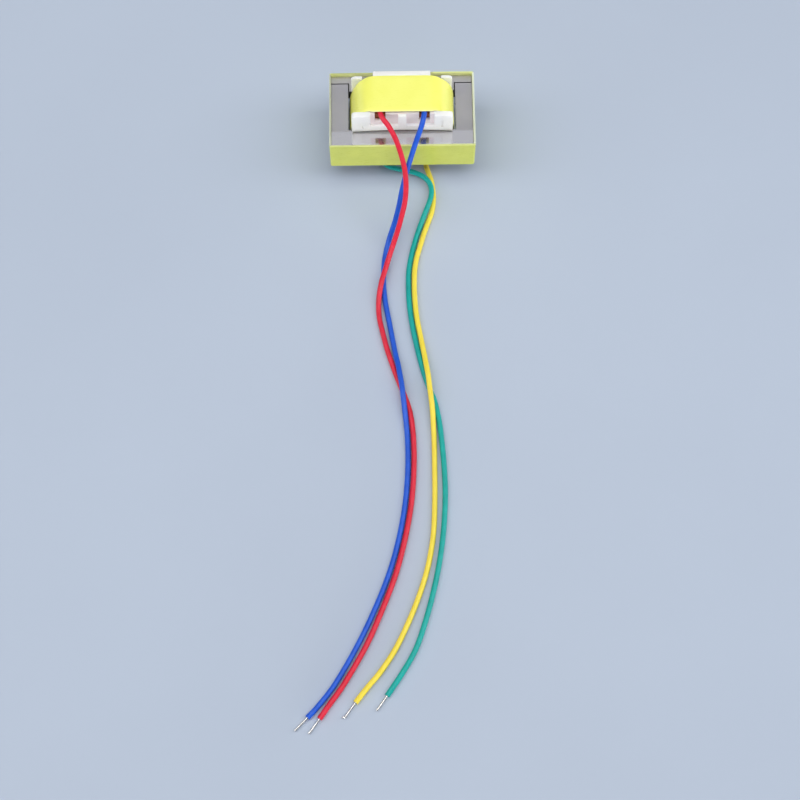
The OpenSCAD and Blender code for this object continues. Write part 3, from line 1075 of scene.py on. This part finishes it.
BLUE_ROUTE_MM = [
    (3.7, -1.8, 16.45), (3.7, -2.95, 16.45), (3.5, -4.3, 16.4), (3.2, -5.3, 16), (2.8, -6.3, 15.4),
    (2.3, -7.3, 14.5), (1.4, -9.2, 12.3), (0.5, -11.1, 9.7), (-0.2, -13, 7.2), (-0.8, -15, 4.8),
    (-1.5, -16.9, 2.9), (-2.3, -18.8, 1.5), (-2.9, -20.8, 0.7), (-3.3, -23, 0.5), (-3.5, -25.5, 0.5),
    (-3.5, -28, 0.5), (-3.2, -31, 0.5), (-2.7, -34, 0.5), (-2.2, -37, 0.5), (-1.7, -40, 0.7),
    (-1.3, -42, 1.1), (-1, -44, 1.4), (-0.7, -46, 1.5), (-0.5, -48, 1.45), (-0.3, -50, 1.1),
    (-0.1, -52, 0.7), (0.1, -55, 0.5), (0.1, -60, 0.5), (-0.4, -66, 0.5), (-1.5, -72, 0.5),
    (-3.2, -78, 0.5), (-5.6, -84, 0.5), (-8.5, -90, 0.5), (-12, -96, 0.5), (-14.7, -99.5, 0.5),
    (-16.4, -101.3, 0.5),
]
GREEN_ROUTE_MM = [
    (-3.7, -1.8, 0.8), (-3.7, -2.95, 0.8), (-3.5, -3.77, 0.8), (-3.04, -4.55, 0.8), (-2.3, -5.14, 0.85),
    (-0.87, -5.67, 0.95), (0.36, -6.01, 1.05), (2.08, -6.6, 1.2), (3.6, -7.5, 1.4), (4.6, -8.7, 1.45),
    (4.95, -10, 1.45), (4.85, -11.3, 1.45), (4.5, -12.5, 1.4), (3.9, -14, 1.2), (3.1, -16, 0.8),
    (2.4, -18, 0.55), (1.8, -20, 0.5), (1.2, -22.5, 0.5), (0.8, -25, 0.5), (0.7, -28, 0.5), (0.8, -31, 0.5),
    (1.1, -34, 0.5), (1.6, -37, 0.5), (2.2, -40, 0.5), (2.9, -43, 0.5), (3.8, -46, 0.5), (4.7, -48.5, 0.5),
    (5.4, -52, 0.5), (5.8, -56, 0.5), (6.1, -61, 0.5), (6.1, -66, 0.5), (5.6, -72, 0.5), (4.6, -78, 0.5),
    (3.1, -84, 0.5), (1.1, -90, 0.5), (-1.1, -94, 0.5), (-3.8, -98, 0.5),
]
YELLOW_ROUTE_MM = [
    (3.7, -1.8, 0.8), (3.7, -2.95, 0.8), (4, -4.2, 0.8), (4.2, -5.4, 0.7), (4.6, -6.6, 0.55),
    (5, -8, 0.5), (5.2, -9.5, 0.5), (5.3, -11, 0.5), (5.2, -12.5, 0.5), (4.9, -14, 0.5), (4.2, -16, 0.5),
    (3.5, -18, 0.5), (2.9, -20, 0.5), (2.2, -22.5, 0.5), (1.8, -25, 0.5), (1.7, -28, 0.5),
    (1.8, -31, 0.5), (2.1, -34, 0.5), (2.6, -37, 0.55), (3.1, -40, 0.9), (3.4, -42, 1.2),
    (3.7, -44, 1.45), (3.9, -46, 1.5), (4.1, -48, 1.45), (4.3, -50, 1.15), (4.4, -52, 0.8),
    (4.5, -55, 0.5), (4.5, -60, 0.5), (4.4, -66, 0.5), (4, -72, 0.5), (2.8, -78, 0.5), (0.7, -84, 0.5),
    (-2.1, -90, 0.5), (-4.7, -94, 0.5), (-6.8, -96.5, 0.5), (-8.8, -99, 0.5),
]


@dataclass(frozen=True)
class SoftLamp:
    """A flat soft lamp."""

    name: str
    place: tuple[float, float, float]
    aim: tuple[float, float, float]
    length: float
    width: float
    power: float

    def build(self) -> None:
        """Hangs the lamp and points it."""
        lamp = bpy.data.lights.new(self.name, "AREA")
        lamp.shape = "RECTANGLE"
        lamp.size = self.length
        lamp.size_y = self.width
        lamp.energy = self.power
        hung = bpy.data.objects.new(self.name, lamp)
        hung.location = self.place
        way = Vector(self.aim) - Vector(self.place)
        hung.rotation_euler = way.to_track_quat("-Z", "Y").to_euler()
        bpy.context.scene.collection.objects.link(hung)


@dataclass
class Studio:
    """The table, the soft light and the camera."""

    table_half: float = 1.2
    table_finish: PaleTable = PaleTable("pale_table", (0.455, 0.52, 0.630), (0.485, 0.555, 0.670))
    sky: Colour = (0.93, 0.96, 1.0)
    sky_walls: float = 0.05
    sky_ceiling: float = 0.70
    ceiling_way: tuple[float, float, float] = (0.008, 0.4725, 0.8813)
    ceiling_reach: tuple[float, float] = (0.92, 0.98)
    lamps: tuple[SoftLamp, ...] = (
        SoftLamp("overhead_lamp", (0.0, -0.055, 0.5), (0.0, -0.055, 0.0), 2.2, 0.29, 6.4),
        SoftLamp("front_fill", (0.0, -0.60, 0.05), (0.0, 0.0, 0.01), 0.6, 0.08, 1.9),
        SoftLamp("left_fill", (-0.60, 0.0, 0.05), (0.0, 0.0, 0.01), 0.6, 0.08, 0.5),
        SoftLamp("right_fill", (0.60, 0.0, 0.05), (0.0, 0.0, 0.01), 0.6, 0.08, 1.3),
        SoftLamp("back_fill", (0.0, 0.60, 0.05), (0.0, 0.0, 0.01), 0.6, 0.08, 0.7),
    )
    eye: tuple[float, float, float] = (-2.714 * MM, -162.22 * MM, 313.62 * MM)
    drop_deg: float = 70.0
    yaw_deg: float = -0.843
    lens_mm: float = 90.0
    sensor_mm: float = 36.0
    seen_from: float = 0.01

    def build(self) -> None:
        """Makes the table, the lights and the camera."""
        self.table()
        self.light()
        self.camera()
        LOG.info("built the studio")

    def table(self) -> None:
        """Lays the table just under the object."""
        h = self.table_half
        mesh = bpy.data.meshes.new("table")
        mesh.from_pydata([(-h, -h, 0), (h, -h, 0), (h, h, 0), (-h, h, 0)], [], [(0, 1, 2, 3)])
        mesh.materials.append(self.table_finish.material())
        top = bpy.data.objects.new("table", mesh)
        bpy.context.scene.collection.objects.link(top)

    def light(self) -> None:
        """Sets a soft sky, paler where the core's top mirrors the ceiling, and the lamps."""
        world = bpy.data.worlds.new("soft_room")
        world.use_nodes = True
        tree = world.node_tree
        sky = tree.nodes["Background"]
        sky.inputs["Color"].default_value = (*self.sky, 1.0)
        nearness = tree.nodes.new("ShaderNodeVectorMath")
        nearness.operation = "DOT_PRODUCT"
        nearness.inputs[1].default_value = self.ceiling_way
        fade = tree.nodes.new("ShaderNodeMapRange")
        fade.interpolation_type = "SMOOTHSTEP"
        limits = (*self.ceiling_reach, self.sky_walls, self.sky_ceiling)
        for socket, value in zip(("From Min", "From Max", "To Min", "To Max"), limits):
            fade.inputs[socket].default_value = value
        way = tree.nodes.new("ShaderNodeTexCoord")
        tree.links.new(way.outputs["Generated"], nearness.inputs[0])
        tree.links.new(nearness.outputs["Value"], fade.inputs["Value"])
        tree.links.new(fade.outputs["Result"], sky.inputs["Strength"])
        bpy.context.scene.world = world
        for lamp in self.lamps:
            lamp.build()

    def camera(self) -> None:
        """Points the camera as the photograph was taken."""
        e, a = math.radians(self.drop_deg), math.radians(self.yaw_deg)
        ahead = Vector((-math.cos(e) * math.sin(a), math.cos(e) * math.cos(a), -math.sin(e)))
        right = Vector((math.cos(a), math.sin(a), 0))
        up = right.cross(ahead)
        data = bpy.data.cameras.new("camera")
        data.lens = self.lens_mm
        data.sensor_width = self.sensor_mm
        data.clip_start = self.seen_from
        eye = bpy.data.objects.new("camera", data)
        turn = Matrix((right, up, -ahead)).transposed()
        eye.matrix_world = Matrix.Translation(self.eye) @ turn.to_4x4()
        bpy.context.scene.collection.objects.link(eye)
        bpy.context.scene.camera = eye


def leads() -> list[FlyingLead]:
    """Gives each lead its colour and its route.

    Returns:
        The four leads, in the order they are made.
    """
    red = SoftInsulation("red_insulation", (0.61, 0.014, 0.038), (0.74, 0.025, 0.060))
    blue = SoftInsulation("blue_insulation", (0.010, 0.080, 0.53), (0.020, 0.118, 0.67))
    green = SoftInsulation("green_insulation", (0.002, 0.32, 0.285), (0.006, 0.405, 0.36))
    yellow = SoftInsulation("yellow_insulation", (0.83, 0.66, 0.055), (0.90, 0.73, 0.078))
    return [
        FlyingLead(LeadColour.RED, red, RED_ROUTE_MM),
        FlyingLead(LeadColour.BLUE, blue, BLUE_ROUTE_MM),
        FlyingLead(LeadColour.GREEN, green, GREEN_ROUTE_MM),
        FlyingLead(LeadColour.YELLOW, yellow, YELLOW_ROUTE_MM, stub=Vector((-0.4 * MM, 0, 0))),
    ]


def main() -> None:
    """Builds the studio and the transformer, piece by piece."""
    logging.basicConfig(level=logging.INFO)
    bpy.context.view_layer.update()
    bpy.context.scene.view_settings.view_transform = "Standard"
    builders: list[Callable[[], object]] = [Studio().build]
    builders += [lead.build for lead in leads()]
    builders += [CoreStack().build, WoundBobbin().build, CoilWrap().build, CoreBand().build]
    for build in builders:
        build()


if __name__ == "__main__":
    main()
